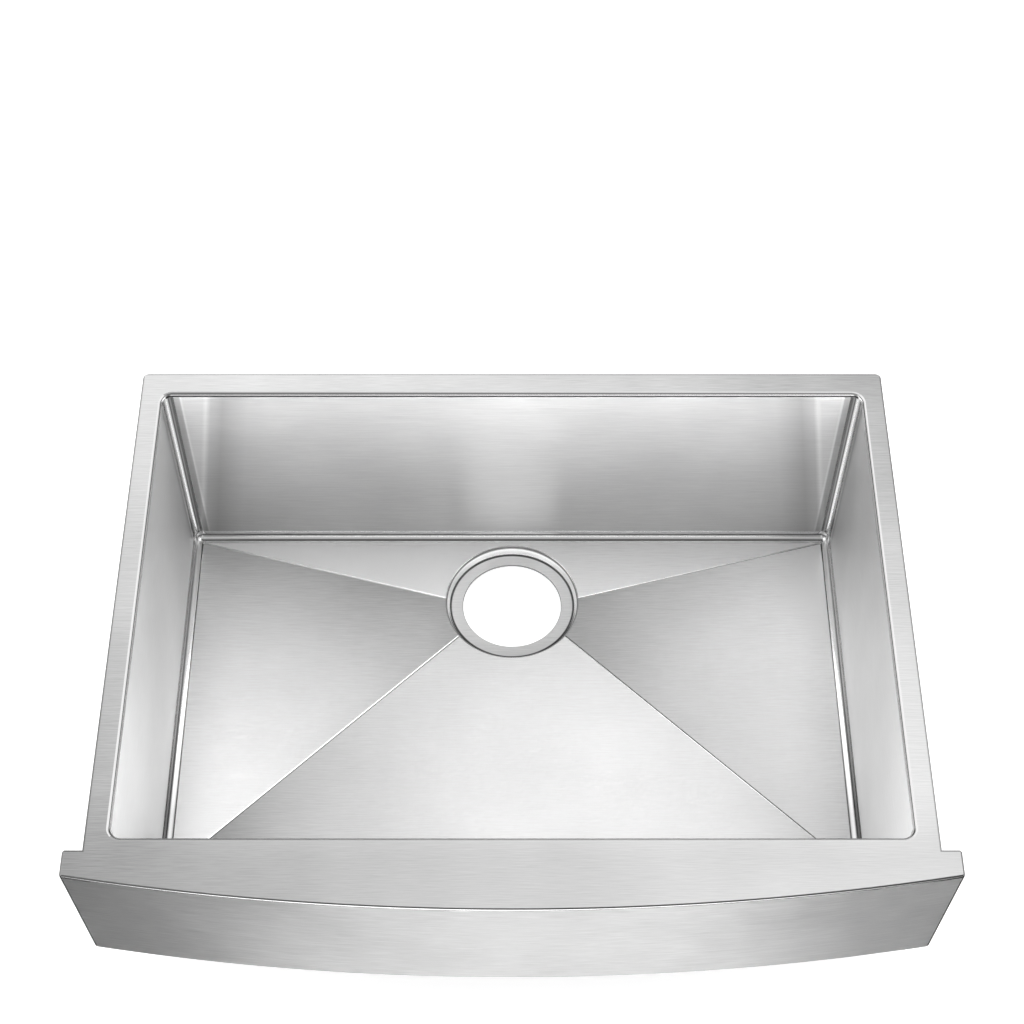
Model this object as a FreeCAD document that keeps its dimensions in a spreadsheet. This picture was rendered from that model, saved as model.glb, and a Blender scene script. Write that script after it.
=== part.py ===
import FreeCAD, Part
import math
import os
import Sketcher

# Farmhouse apron front sink, single bowl, folded from stainless sheet.  Millimetres, +Z up, +X to the
# right and +Y to the back of somebody who stands in front of the sink.
#
# The origin is on the top face of the rim, in the middle of its back strip, where a worktop rests.
#
# How the real one is made: one cross-shaped blank is folded up into the bowl, with bends of equal radius
# in its corners and round its floor, four slight creases that lead the water to the drain, a drain recess
# drawn into the floor, and a rim turned outwards at the top.  A second sheet is bowed and folded into the
# apron front and welded flush to the rim's front edge.  Three brackets tie the apron's foot to the bowl,
# and damping pads are stuck to the hidden faces.

DIMENSIONS = [
    ("sheet", 1.5, "thickness of the stainless sheet"),
    ("bowl_width", 584.0, "inside of the bowl, left to right"),
    ("bowl_length", 415.0, "inside of the bowl, back to front"),
    ("bowl_depth", 201.0, "rim to the edge of the floor"),
    ("corner_radius", 8.0, "inside bends of the bowl, upright and round the floor"),
    ("lip_radius", 3.2, "bend from the rim down into the bowl, on its visible side"),
    ("rim_back", 22.5, "rim strip behind the bowl"),
    ("rim_side", 18.5, "rim strip on each side of the bowl"),
    ("rim_front", 11.0, "rim strip from the bowl to the seam with the apron"),
    ("rim_corner_radius", 4.5, "back corners of the rim"),
    ("rim_seat_to_wall", 13.0, "origin to the back wall's inside face"),
    ("floor_fall", 4.0, "drop of the floor along its creases, from the corners to the drain"),
    ("back_crease_aim", 11.5, "back creases point this far in front of the drain's centre"),
    ("front_crease_aim", 10.3, "front creases point this far behind the drain's centre"),
    ("level_strip", 65.0, "level floor in front of the feet of the front creases"),
    ("drain_setback", 71.0, "drain's centre to the back wall"),
    ("drain_hole_radius", 44.5, "hole for a 3 1/2 inch strainer"),
    ("drain_seat_radius", 55.5, "flat seat of the strainer's flange"),
    ("drain_ring_radius", 60.5, "mouth of the recess at the floor's edge level"),
    ("drain_recess", 9.0, "floor's edge level to the strainer's seat"),
    ("drain_lip_radius", 2.0, "rounding of the recess where it leaves the floor"),
    ("drain_seat_bend", 2.0, "inside bend from the recess's wall to its seat"),
    ("apron_width", 651.0, "apron front, over its ends"),
    ("deck_reach", 47.5, "seam with the rim to the foremost point of the bowed front"),
    ("apron_bow_radius", 1987.0, "radius of the bowed front"),
    ("apron_height", 121.0, "height of the apron front"),
    ("apron_end_draft", 2.4, "lean of the apron's ends, in degrees"),
    ("apron_fold_radius", 2.2, "outside folds of the apron"),
    ("apron_return", 18.0, "lip folded back along the apron's foot"),
    ("tab_corner_radius", 2.5, "back corners of the deck, where its ends stand past the rim"),
    ("bracket_sheet", 2.0, "thickness of the brackets"),
    ("bracket_width", 36.0, "brackets, left to right"),
    ("bracket_height", 40.0, "leg of each bracket on the bowl's front wall"),
    ("bracket_overlap", 12.0, "foot of each bracket on the apron's lip"),
    ("bracket_bend", 2.0, "inside bend of the brackets"),
    ("bracket_spacing", 205.0, "outer brackets from the middle"),
    ("pad_thickness", 3.0, "damping pads"),
    ("wall_pad_height", 96.0, "pads on the back and side walls"),
    ("wall_pad_drop", 58.0, "rim to the top of those pads"),
    ("back_pad_length", 420.0, "pad on the back wall, left to right"),
    ("side_pad_length", 260.0, "pads on the side walls, back to front"),
    ("front_pad_length", 470.0, "pad on the front wall, left to right"),
    ("front_pad_height", 56.0, "pad on the front wall"),
    ("front_pad_gap", 10.0, "apron's foot to the top of the front wall's pad"),
    ("floor_pad_margin", 12.0, "floor pads to the ends of the bends"),
    ("floor_pad_gap", 14.0, "between neighbouring floor pads"),
    ("drain_pad_gap", 20.0, "drain recess to the floor pads beside it"),
    ("front_floor_pad_length", 190.0, "floor pad in front, back to front"),
    ("apron_pad_length", 520.0, "pad inside the apron, left to right"),
    ("apron_pad_height", 70.0, "pad inside the apron"),
    ("apron_pad_drop", 24.0, "rim to the top of the apron's pad"),
]


class Size:
    """A length that knows its value and the sheet formula that gives it."""

    def __init__(self, formula, value):
        self.formula = formula
        self.value = value

    def __add__(self, other):
        other = as_size(other)
        return Size(f"({self.formula} + {other.formula})", self.value + other.value)

    def __sub__(self, other):
        other = as_size(other)
        return Size(f"({self.formula} - {other.formula})", self.value - other.value)

    def __mul__(self, other):
        other = as_size(other)
        return Size(f"({self.formula} * {other.formula})", self.value * other.value)

    def __truediv__(self, other):
        other = as_size(other)
        return Size(f"({self.formula} / {other.formula})", self.value / other.value)

    def __neg__(self):
        return Size(f"(0 - {self.formula})", -self.value)


def as_size(length):
    """A plain number as a Size."""
    if isinstance(length, Size):
        return length
    return Size(repr(float(length)), float(length))


def root(area):
    """Square root of a Size."""
    return Size(f"sqrt({area.formula})", math.sqrt(area.value))


def fill_sheet(document):
    """The driving dimensions in a spreadsheet, and each of them as a Size."""
    sheet = document.addObject("Spreadsheet::Sheet", "dims")
    sizes = {}
    for row, (alias, length, note) in enumerate(DIMENSIONS, start=1):
        sheet.set(f"A{row}", alias)
        sheet.set(f"B{row}", str(length))
        sheet.set(f"C{row}", note)
        sheet.setAlias(f"B{row}", alias)
        sizes[alias] = Size(f"dims.{alias}", length)
    document.recompute()
    return sizes


DOC = FreeCAD.newDocument("apron_sink")
D = fill_sheet(DOC)
TOUCH = 1.0e-3  # two faces or edges closer than this are in one place
ROOM = 10.0  # how far a cutting solid reaches past what it cuts

# Places that several pieces share, in the sink's own frame.
WALL_BACK = -D["rim_seat_to_wall"]
WALL_FRONT = WALL_BACK - D["bowl_length"]
HALF_WIDTH = D["bowl_width"] / 2
RIM_BACK = WALL_BACK + D["rim_back"]
RIM_HALF = HALF_WIDTH + D["rim_side"]
SEAM = WALL_FRONT - D["rim_front"]
DRAIN_Y = WALL_BACK - D["drain_setback"]
FLOOR_EDGE = -D["bowl_depth"]
FLOOR_HALF = HALF_WIDTH - D["corner_radius"]
FLOOR_BACK = WALL_BACK - D["corner_radius"]
FLOOR_FRONT = WALL_FRONT + D["corner_radius"]
APRON_HALF = D["apron_width"] / 2
APRON_FOOT = -D["apron_height"]
BOW_CENTRE = SEAM - D["deck_reach"] + D["apron_bow_radius"]


def bind(thing, path, length):
    """Tie a property to the sheet."""
    thing.setExpression(path, length.formula)


def new_body(label):
    body = DOC.addObject("PartDesign::Body", label)
    body.Label = label
    return body


def new_sketch(body, name, role, height=None):
    """An empty sketch on one of the body's own planes, raised by height along the plane's normal."""
    sketch = body.newObject("Sketcher::SketchObject", name)
    plane = next(item for item in body.Origin.OriginFeatures if item.Role == role)
    sketch.AttachmentSupport = (plane, [""])
    sketch.MapMode = "FlatFace"
    if height is not None:
        bind(sketch, "AttachmentOffset.Base.z", height)
    return sketch


def dimension(sketch, kind, item, point, length):
    """Hold a sketch point at a signed distance from the origin, along X or Y."""
    if abs(length.value) < TOUCH:
        axis = -2 if kind == "DistanceX" else -1
        sketch.addConstraint(Sketcher.Constraint("PointOnObject", item, point, axis))
        return
    if length.value > 0:
        index = sketch.addConstraint(Sketcher.Constraint(kind, -1, 1, item, point, length.value))
        sketch.setExpression(f"Constraints[{index}]", length.formula)
    else:
        index = sketch.addConstraint(Sketcher.Constraint(kind, item, point, -1, 1, -length.value))
        sketch.setExpression(f"Constraints[{index}]", (-length).formula)


def straight(sketch, start, end):
    """A line of a sketch, not yet held by any constraint."""
    line = Part.LineSegment(FreeCAD.Vector(start[0].value, start[1].value, 0),
                            FreeCAD.Vector(end[0].value, end[1].value, 0))
    return sketch.addGeometry(line, False)


def join(sketch, *pairs):
    """Make points of a sketch meet: item and point (1 its start, 2 its end), then the other's."""
    for item, point, other, other_point in pairs:
        sketch.addConstraint(Sketcher.Constraint("Coincident", item, point, other, other_point))


def outline(sketch, corners):
    """A closed outline of straight lines through corners, each held in x and y by the sheet."""
    first = sketch.GeometryCount
    count = len(corners)
    for start, end in zip(corners, corners[1:] + corners[:1]):
        straight(sketch, start, end)
    join(sketch, *((first + step, 2, first + (step + 1) % count, 1) for step in range(count)))
    for step, (across, along) in enumerate(corners):
        dimension(sketch, "DistanceX", first + step, 1, across)
        dimension(sketch, "DistanceY", first + step, 1, along)


def box_outline(sketch, left, right, front, back):
    outline(sketch, [(left, front), (right, front), (right, back), (left, back)])


def bow_arc(sketch, radius, half):
    """An arc about the bow's centre, from -half to +half."""
    centre = FreeCAD.Vector(0, BOW_CENTRE.value, 0)
    spread = math.asin(half.value / radius.value)
    circle = Part.Circle(centre, FreeCAD.Vector(0, 0, 1), radius.value)
    item = sketch.addGeometry(Part.ArcOfCircle(circle, -math.pi / 2 - spread, -math.pi / 2 + spread), False)
    sketch.addConstraint(Sketcher.Constraint("PointOnObject", item, 3, -2))
    dimension(sketch, "DistanceY", item, 3, BOW_CENTRE)
    index = sketch.addConstraint(Sketcher.Constraint("Radius", item, radius.value))
    sketch.setExpression(f"Constraints[{index}]", radius.formula)
    dimension(sketch, "DistanceX", item, 1, -half)
    dimension(sketch, "DistanceX", item, 2, half)
    return item


def pad(body, sketch, length, down=False, both_ways=False):
    """Raise a sketch into a solid."""
    feature = body.newObject("PartDesign::Pad", f"{sketch.Name}_pad")
    feature.Profile = sketch
    bind(feature, "Length", length)
    feature.Reversed = down
    feature.SideType = "Symmetric" if both_ways else "One side"
    return feature


def pocket(body, sketch, length, both_ways=False):
    """Cut a sketch out of the body, and make sure that it did cut."""
    DOC.recompute()
    before = body.Shape.Volume
    feature = body.newObject("PartDesign::Pocket", f"{sketch.Name}_pocket")
    feature.Profile = sketch
    bind(feature, "Length", length)
    feature.SideType = "Symmetric" if both_ways else "One side"
    DOC.recompute()
    if body.Shape.Volume >= before:
        raise RuntimeError(f"{sketch.Name} cuts nothing")
    return feature


def round_edges(body, name, radius, chosen):
    """Round the edges of the body for which chosen(edge) is true."""
    DOC.recompute()
    base = body.Tip
    names = [f"Edge{i}" for i, edge in enumerate(base.Shape.Edges, start=1) if chosen(edge)]
    if not names:
        raise RuntimeError(f"{name} finds no edge")
    feature = body.newObject("PartDesign::Fillet", name)
    feature.Base = (base, names)
    bind(feature, "Radius", radius)
    return feature


def lies_at(edge, height):
    """True for an edge that lies in the level plane at height."""
    box = edge.BoundBox
    return abs(box.ZMin - height.value) < TOUCH and abs(box.ZMax - height.value) < TOUCH


def is_upright(edge):
    box = edge.BoundBox
    return box.XLength < TOUCH and box.YLength < TOUCH


def bowl_form(label, skin):
    """The bowl's outside with a sheet as thick as skin; with no skin, the room inside the bowl."""
    body = new_body(label)
    floor = FLOOR_EDGE - skin

    # The folded box: its upright corners and the bends round its floor have one radius, so three bends
    # meet in a corner as an eighth of a ball.
    plan = new_sketch(body, f"{label}_plan", "XY_Plane")
    box_outline(plan, -(HALF_WIDTH + skin), HALF_WIDTH + skin, WALL_FRONT - skin, WALL_BACK + skin)
    pad(body, plan, D["bowl_depth"] + skin, down=True)
    round_edges(body, f"{label}_bends", D["corner_radius"] + skin,
                lambda edge: edge.BoundBox.ZMin < -TOUCH)

    # The creased floor.  Seen from the side it falls from both ends to a valley under the drain; seen
    # from the front it falls from both sides.  Where the two falls meet are the four creases: the back
    # pair starts in the corners, the front pair a level strip away from the front.
    fall = D["floor_fall"]
    crease_foot = FLOOR_FRONT + D["level_strip"]
    back_rate = fall / (FLOOR_BACK - (DRAIN_Y - D["back_crease_aim"]))
    front_rate = fall / (DRAIN_Y + D["front_crease_aim"] - crease_foot)
    valley_y = (back_rate * FLOOR_BACK + front_rate * crease_foot) / (back_rate + front_rate)
    valley_fall = back_rate * (FLOOR_BACK - valley_y)
    keel = new_sketch(body, f"{label}_keel", "YZ_Plane")
    outline(keel, [(crease_foot, floor), (valley_y, floor - valley_fall), (FLOOR_BACK, floor)])
    pad(body, keel, FLOOR_HALF * 2, both_ways=True)
    flanks = new_sketch(body, f"{label}_flanks", "XZ_Plane")
    below = floor - fall - ROOM
    past_both_ends = (-FLOOR_FRONT + ROOM) * 2
    outline(flanks, [(-FLOOR_HALF, floor), (as_size(0), floor - fall), (FLOOR_HALF, floor),
                     (FLOOR_HALF, below), (-FLOOR_HALF, below)])
    pocket(body, flanks, past_both_ends, both_ways=True)
    return body


def drain_recess(body, skin, drilled):
    """The recess drawn into the floor round the drain, and the hole through its seat where drilled."""
    floor = FLOOR_EDGE - skin
    seat = floor - D["drain_recess"]
    mouth = DRAIN_Y + D["drain_ring_radius"] + skin
    rim_of_seat = DRAIN_Y + D["drain_seat_radius"] + skin
    corners = [(DRAIN_Y, floor), (mouth, floor), (rim_of_seat, seat)]
    if drilled:
        edge_of_hole = DRAIN_Y + D["drain_hole_radius"]
        corners += [(edge_of_hole, seat), (edge_of_hole, seat - ROOM), (DRAIN_Y, seat - ROOM)]
    else:
        corners += [(DRAIN_Y, seat)]
    profile = new_sketch(body, f"{body.Name}_recess", "YZ_Plane")
    outline(profile, corners)
    axis = Part.LineSegment(FreeCAD.Vector(DRAIN_Y.value, 0, 0),
                            FreeCAD.Vector(DRAIN_Y.value, floor.value, 0))
    item = profile.addGeometry(axis, True)
    dimension(profile, "DistanceX", item, 1, DRAIN_Y)
    dimension(profile, "DistanceX", item, 2, DRAIN_Y)
    dimension(profile, "DistanceY", item, 1, as_size(0))
    dimension(profile, "DistanceY", item, 2, floor)
    turned = body.newObject("PartDesign::Revolution", f"{body.Name}_drain")
    turned.Profile = profile
    turned.ReferenceAxis = (profile, ["Axis0"])
    turned.Angle = 360.0

    def on_mouth(edge):
        """The edges where the recess leaves the floor's facets."""
        box = edge.BoundBox
        far = max(math.hypot(v.X, v.Y - DRAIN_Y.value) for v in edge.Vertexes)
        near = min(math.hypot(v.X, v.Y - DRAIN_Y.value) for v in edge.Vertexes)
        inside = far <= (D["drain_ring_radius"] + skin).value + TOUCH
        outside = near > (D["drain_seat_radius"] + skin).value + TOUCH
        return inside and outside and box.ZMin > seat.value + TOUCH

    round_edges(body, f"{body.Name}_drain_lip", D["drain_lip_radius"] - skin, on_mouth)

    def on_seat(edge):
        """The circle where the recess's wall meets its seat."""
        wide = (D["drain_seat_radius"] + skin).value * 2
        return lies_at(edge, seat) and abs(edge.BoundBox.XLength - wide) < TOUCH

    round_edges(body, f"{body.Name}_seat_bend", D["drain_seat_bend"] + skin, on_seat)


def rim_plate(body, plan_limits, thickness, height, upward, skin):
    """A level plate round the bowl's mouth and the bend between the two."""
    left, right, front, back = plan_limits
    plan = new_sketch(body, f"{body.Name}_rim", "XY_Plane")
    box_outline(plan, left, right, front, back)
    pad(body, plan, thickness, down=not upward)

    def on_mouth(edge):
        """The edges where the bowl's walls meet the plate, all within the walls' outline."""
        box = edge.BoundBox
        across = (HALF_WIDTH + skin).value + TOUCH
        within_x = box.XMax < across and box.XMin > -across
        behind = (WALL_BACK + skin).value + TOUCH
        within_y = box.YMax < behind and box.YMin > (WALL_FRONT - skin).value - TOUCH
        return lies_at(edge, height) and within_x and within_y

    round_edges(body, f"{body.Name}_lip", D["lip_radius"] - skin, on_mouth)


def build_bowl():
    """Sheet bowl: its outside with the rim, less the room inside it."""
    none = as_size(0)
    outside = bowl_form("bowl_outside", D["sheet"])
    drain_recess(outside, D["sheet"], drilled=False)
    rim_plate(outside, (-RIM_HALF, RIM_HALF, SEAM, RIM_BACK), D["sheet"], -D["sheet"], False, D["sheet"])

    def back_corner(edge):
        return is_upright(edge) and abs(edge.BoundBox.YMax - RIM_BACK.value) < TOUCH

    round_edges(outside, "rim_corners", D["rim_corner_radius"], back_corner)
    inside = bowl_form("bowl_inside", none)
    drain_recess(inside, none, drilled=True)
    reach = (-(RIM_HALF + ROOM), RIM_HALF + ROOM, SEAM - ROOM, RIM_BACK + ROOM)
    rim_plate(inside, reach, as_size(ROOM), none, True, none)
    bowl = DOC.addObject("Part::Cut", "bowl")
    bowl.Label = "bowl"
    bowl.Base = outside
    bowl.Tool = inside
    return bowl, outside


def close_behind(sketch, bow, half, back):
    """Close a bow arc with two ends that run back and a straight line behind."""
    front = BOW_CENTRE - D["apron_bow_radius"]
    right = straight(sketch, (half, front), (half, back))
    behind = straight(sketch, (half, back), (-half, back))
    left = straight(sketch, (-half, back), (-half, front))
    join(sketch, (bow, 2, right, 1), (right, 2, behind, 1), (behind, 2, left, 1), (left, 2, bow, 1))
    dimension(sketch, "DistanceX", behind, 1, half)
    dimension(sketch, "DistanceY", behind, 1, back)
    dimension(sketch, "DistanceX", behind, 2, -half)
    dimension(sketch, "DistanceY", behind, 2, back)


def face_toward(shape, axis, limit):
    """Name of the flat face that closes the shape at limit along axis (0, 1 or 2)."""
    for i, face in enumerate(shape.Faces, start=1):
        box = face.BoundBox
        low = (box.XMin, box.YMin, box.ZMin)[axis]
        high = (box.XMax, box.YMax, box.ZMax)[axis]
        if abs(low - limit.value) < TOUCH and abs(high - limit.value) < TOUCH:
            return f"Face{i}"
    raise RuntimeError(f"no face at {limit.value}")


def apron_form(label, inset):
    """The folded apron's outside, or with an inset the room inside it, which is open behind and below."""
    body = new_body(label)
    hollow = inset.value > 0
    back = SEAM + ROOM if hollow else SEAM
    half = APRON_HALF - inset
    plan = new_sketch(body, f"{label}_plan", "XY_Plane", -inset)
    bow = bow_arc(plan, D["apron_bow_radius"] - inset, half)
    close_behind(plan, bow, half, back)
    block = pad(body, plan, D["apron_height"] - inset * 2, down=True)
    DOC.recompute()

    # The ends lean in a little, so that the front drops between two cabinet sides.
    lean = body.newObject("PartDesign::Draft", f"{label}_ends")
    lean.Base = (block, [face_toward(block.Shape, 0, -half), face_toward(block.Shape, 0, half)])
    lean.NeutralPlane = (block, [face_toward(block.Shape, 2, -inset)])
    lean.Reversed = True
    bind(lean, "Angle", D["apron_end_draft"])

    def fold(edge):
        """Every edge except those of the back."""
        return edge.BoundBox.YMin < back.value - TOUCH

    round_edges(body, f"{label}_folds", D["apron_fold_radius"] - inset, fold)
    if hollow:
        # The foot is open but for a lip that follows the bow.
        foot = new_sketch(body, f"{label}_foot", "XY_Plane", APRON_FOOT + inset * 2)
        lip = D["apron_return"]
        edge = bow_arc(foot, D["apron_bow_radius"] - lip, APRON_HALF - lip)
        close_behind(foot, edge, APRON_HALF - lip, back)
        pad(body, foot, inset * 2 + ROOM, down=True)
    return body


def round_tabs(body):
    """Round the deck's back corners: each sketch is the waste between a square corner and its arc."""
    radius = D["tab_corner_radius"]
    turn = SEAM - radius
    for label, side, start in (("tab_left", -1, math.pi / 2), ("tab_right", 1, 0.0)):
        waste = new_sketch(body, label, "XY_Plane")
        inner = (APRON_HALF - radius) * side
        edge = APRON_HALF * side
        outer = (APRON_HALF + ROOM) * side
        behind = straight(waste, (inner, SEAM), (outer, SEAM))
        beyond = straight(waste, (outer, SEAM), (outer, turn))
        below = straight(waste, (outer, turn), (edge, turn))
        circle = Part.Circle(FreeCAD.Vector(inner.value, turn.value, 0), FreeCAD.Vector(0, 0, 1),
                             radius.value)
        arc = waste.addGeometry(Part.ArcOfCircle(circle, start, start + math.pi / 2), False)
        on_edge, on_back = (1, 2) if side > 0 else (2, 1)
        join(waste, (behind, 2, beyond, 1), (beyond, 2, below, 1), (below, 2, arc, on_edge),
             (arc, on_back, behind, 1))
        for item, point, across, along in ((behind, 1, inner, SEAM), (beyond, 1, outer, SEAM),
                                           (below, 1, outer, turn), (below, 2, edge, turn)):
            dimension(waste, "DistanceX", item, point, across)
            dimension(waste, "DistanceY", item, point, along)
        dimension(waste, "DistanceX", arc, 3, inner)
        pocket(body, waste, D["apron_height"])


def build_apron():
    """The apron front: a bowed sheet with a deck on top, folded ends and a lip along its foot."""
    apron = DOC.addObject("Part::Cut", "apron_front")
    apron.Label = "apron_front"
    outside = apron_form("apron_outside", as_size(0))
    round_tabs(outside)
    apron.Base = outside
    apron.Tool = apron_form("apron_inside", D["sheet"])
    return apron


def bow_depth(radius, across):
    """Where an arc on the bow's centre lies at a distance across from the middle."""
    return BOW_CENTRE - root(radius * radius - across * across)


def build_bracket(label, across, side):
    """An angle that ties the apron's lip to the bowl's front wall."""
    body = new_body(label)
    wall = WALL_FRONT - D["sheet"]
    low = APRON_FOOT + D["sheet"]
    thick = D["bracket_sheet"]
    toe = bow_depth(D["apron_bow_radius"] - D["apron_return"], across) - D["bracket_overlap"]
    angle = new_sketch(body, f"{label}_angle", "YZ_Plane")
    outline(angle, [(wall, low), (wall, low + D["bracket_height"]),
                    (wall - thick, low + D["bracket_height"]), (wall - thick, low + thick),
                    (toe, low + thick), (toe, low)])
    pad(body, angle, D["bracket_width"], both_ways=True)

    def bend_at(y, z):
        def chosen(edge):
            box = edge.BoundBox
            along_x = box.YLength < TOUCH and box.ZLength < TOUCH
            return along_x and abs(box.YMin - y.value) < TOUCH and abs(box.ZMin - z.value) < TOUCH
        return chosen

    round_edges(body, f"{label}_bend", D["bracket_bend"], bend_at(wall - thick, low + thick))
    round_edges(body, f"{label}_heel", D["bracket_bend"] + thick, bend_at(wall, low))
    bind(body, "Placement.Base.x", across * side)
    return body


def build_apron_pad():
    """A damping pad that follows the inside of the bowed sheet."""
    body = new_body("pad_apron")
    plan = new_sketch(body, "apron_pad_plan", "XY_Plane", -D["apron_pad_drop"])
    half = D["apron_pad_length"] / 2
    outer = bow_arc(plan, D["apron_bow_radius"] - D["sheet"], half)
    inner = bow_arc(plan, D["apron_bow_radius"] - D["sheet"] - D["pad_thickness"], half)
    front = BOW_CENTRE - D["apron_bow_radius"]
    for point, side in ((1, -half), (2, half)):
        end = straight(plan, (side, front), (side, front + D["pad_thickness"]))
        join(plan, (outer, point, end, 1), (inner, point, end, 2))
    pad(body, plan, D["apron_pad_height"], down=True)
    return body


def region(label, low, high):
    """A box between two corners, which picks one pad out of the blank."""
    box = DOC.addObject("Part::Box", label)
    for name, near, far in zip(("Length", "Width", "Height"), low, high):
        bind(box, name, far - near)
    for name, near in zip("xyz", low):
        bind(box, f"Placement.Base.{name}", near)
    return box


def build_bowl_pads(outside):
    """Damping pads: pieces of a skin that lies on the bowl's outside and follows its creases."""
    over = bowl_form("pads_outside", D["sheet"] + D["pad_thickness"])
    blank = DOC.addObject("Part::Cut", "pads_blank")
    blank.Base = over
    blank.Tool = outside
    skin = D["sheet"] + D["pad_thickness"]
    reach = HALF_WIDTH + skin
    wall_top = -D["wall_pad_drop"]
    wall_low = wall_top - D["wall_pad_height"]
    middle = WALL_BACK - D["bowl_length"] / 2
    front_top = APRON_FOOT - D["front_pad_gap"]
    floor_low = FLOOR_EDGE - skin - D["floor_fall"] - ROOM
    floor_half = FLOOR_HALF - D["floor_pad_margin"]
    front_low = FLOOR_FRONT + D["floor_pad_margin"]
    front_high = front_low + D["front_floor_pad_length"]
    beside = D["drain_ring_radius"] + D["sheet"] + D["drain_pad_gap"]
    side_low = front_high + D["floor_pad_gap"]
    side_high = FLOOR_BACK - D["floor_pad_margin"]
    half_back = D["back_pad_length"] / 2
    half_side = D["side_pad_length"] / 2
    half_front = D["front_pad_length"] / 2
    limits = {
        "pad_back": ((-half_back, WALL_BACK, wall_low), (half_back, WALL_BACK + skin + ROOM, wall_top)),
        "pad_left": ((-reach - ROOM, middle - half_side, wall_low),
                     (-HALF_WIDTH, middle + half_side, wall_top)),
        "pad_right": ((HALF_WIDTH, middle - half_side, wall_low),
                      (reach + ROOM, middle + half_side, wall_top)),
        "pad_front": ((-half_front, WALL_FRONT - skin - ROOM, front_top - D["front_pad_height"]),
                      (half_front, WALL_FRONT, front_top)),
        "pad_floor_front": ((-floor_half, front_low, floor_low), (floor_half, front_high, FLOOR_EDGE)),
        "pad_floor_left": ((-floor_half, side_low, floor_low), (-beside, side_high, FLOOR_EDGE)),
        "pad_floor_right": ((beside, side_low, floor_low), (floor_half, side_high, FLOOR_EDGE)),
    }
    pads = []
    for label, (low, high) in limits.items():
        piece = DOC.addObject("Part::Common", label)
        piece.Label = label
        piece.Base = blank
        piece.Tool = region(f"{label}_region", low, high)
        pads.append(piece)
    return pads


def build_all():
    bowl, outside = build_bowl()
    spacing = D["bracket_spacing"]
    return [
        bowl,
        build_apron(),
        build_bracket("apron_bracket_left", spacing, -1),
        build_bracket("apron_bracket_centre", as_size(0), 1),
        build_bracket("apron_bracket_right", spacing, 1),
        build_apron_pad(),
    ] + build_bowl_pads(outside)


def check_and_write(pieces):
    """Stop on anything that failed, then write each piece to its own file."""
    for thing in DOC.Objects:
        if "Invalid" in thing.State or "Error" in thing.State:
            raise RuntimeError(f"{thing.Label} failed: {thing.State}")
    for piece in pieces:
        shape = piece.Shape
        if shape.isNull() or not shape.isValid() or len(shape.Solids) != 1:
            raise RuntimeError(f"{piece.Label} is not one sound solid")
    os.makedirs("parts", exist_ok=True)
    for piece in pieces:
        shape = piece.Shape
        shape.exportStep(f"parts/{piece.Label}.step")
        box = shape.BoundBox
        print(f"{piece.Label}: {shape.Volume / 1000:.2f} cm3, "
              f"{box.XLength:.1f} x {box.YLength:.1f} x {box.ZLength:.1f} mm")


PIECES = build_all()
DOC.recompute()
check_and_write(PIECES)
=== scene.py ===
# %% [markdown]
# # A farmhouse apron front sink
# The real sink is two folded sheets of stainless steel: a bowl with a creased floor, and a bowed apron front
# that is welded to the bowl's rim and ground flush.  This lesson models both as a sheet-metal worker would
# make them, with flat panels first and bends after, and then gives the steel its brushed and polished
# finishes.

# %% Load the frame
import math

import bmesh
import bpy
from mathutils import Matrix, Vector


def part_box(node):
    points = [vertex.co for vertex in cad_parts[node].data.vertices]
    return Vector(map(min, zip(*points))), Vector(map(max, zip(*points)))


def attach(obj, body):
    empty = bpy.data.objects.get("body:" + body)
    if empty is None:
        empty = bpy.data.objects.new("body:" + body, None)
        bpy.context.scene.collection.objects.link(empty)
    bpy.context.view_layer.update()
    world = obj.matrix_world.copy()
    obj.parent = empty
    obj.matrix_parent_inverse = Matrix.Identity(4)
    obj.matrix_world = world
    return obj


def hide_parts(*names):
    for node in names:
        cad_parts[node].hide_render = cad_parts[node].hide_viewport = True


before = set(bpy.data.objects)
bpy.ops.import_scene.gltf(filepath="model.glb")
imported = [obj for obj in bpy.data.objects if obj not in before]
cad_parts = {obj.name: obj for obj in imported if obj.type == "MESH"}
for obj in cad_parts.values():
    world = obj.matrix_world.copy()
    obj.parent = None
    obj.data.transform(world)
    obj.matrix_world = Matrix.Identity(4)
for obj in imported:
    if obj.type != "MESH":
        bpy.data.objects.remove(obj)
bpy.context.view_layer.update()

print("frame:", len(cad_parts), "nodes")

# %% [markdown]
# ## Sizes
# The frame's boxes say how far the bowl and the apron reach, so those sizes are read from it.  The rest are
# the sizes of the sheet and its bends.  A metre is Blender's unit, so each size in millimetres is times MM.

# %% Sizes
MM = 0.001
SHEET = 1.5 * MM
bowl_low, bowl_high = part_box("bowl")
apron_low, apron_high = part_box("apron_front")
RIM_HALF = bowl_high.x
RIM_BACK = bowl_high.y
SEAM = bowl_low.y
BEND = 8 * MM
LIP_BEND = 3.2 * MM
WALL_HALF = 292 * MM
WALL_BACK = -13 * MM
WALL_FRONT = -428 * MM
FLOOR = -201 * MM
FLOOR_HALF = WALL_HALF - BEND
FLOOR_BACK = WALL_BACK - BEND
FLOOR_FRONT = WALL_FRONT + BEND
TINY = 0.01 * MM
ROUGHLY = 0.2 * MM
MOSTLY = 0.9
print("rim:", round(2 * RIM_HALF / MM, 1), "mm wide")
print("bowl:", round(2 * WALL_HALF / MM, 1), "mm wide inside")

# %% [markdown]
# ## The camera
# It looks down over the apron into the bowl.  Its height, tilt and lens make the edges of the model fall on
# the edges of the photograph.  The picture's centre line is above the sink, so the lens is shifted a little
# instead of the camera being tilted further, because a tilt would change how the walls converge.

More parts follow.
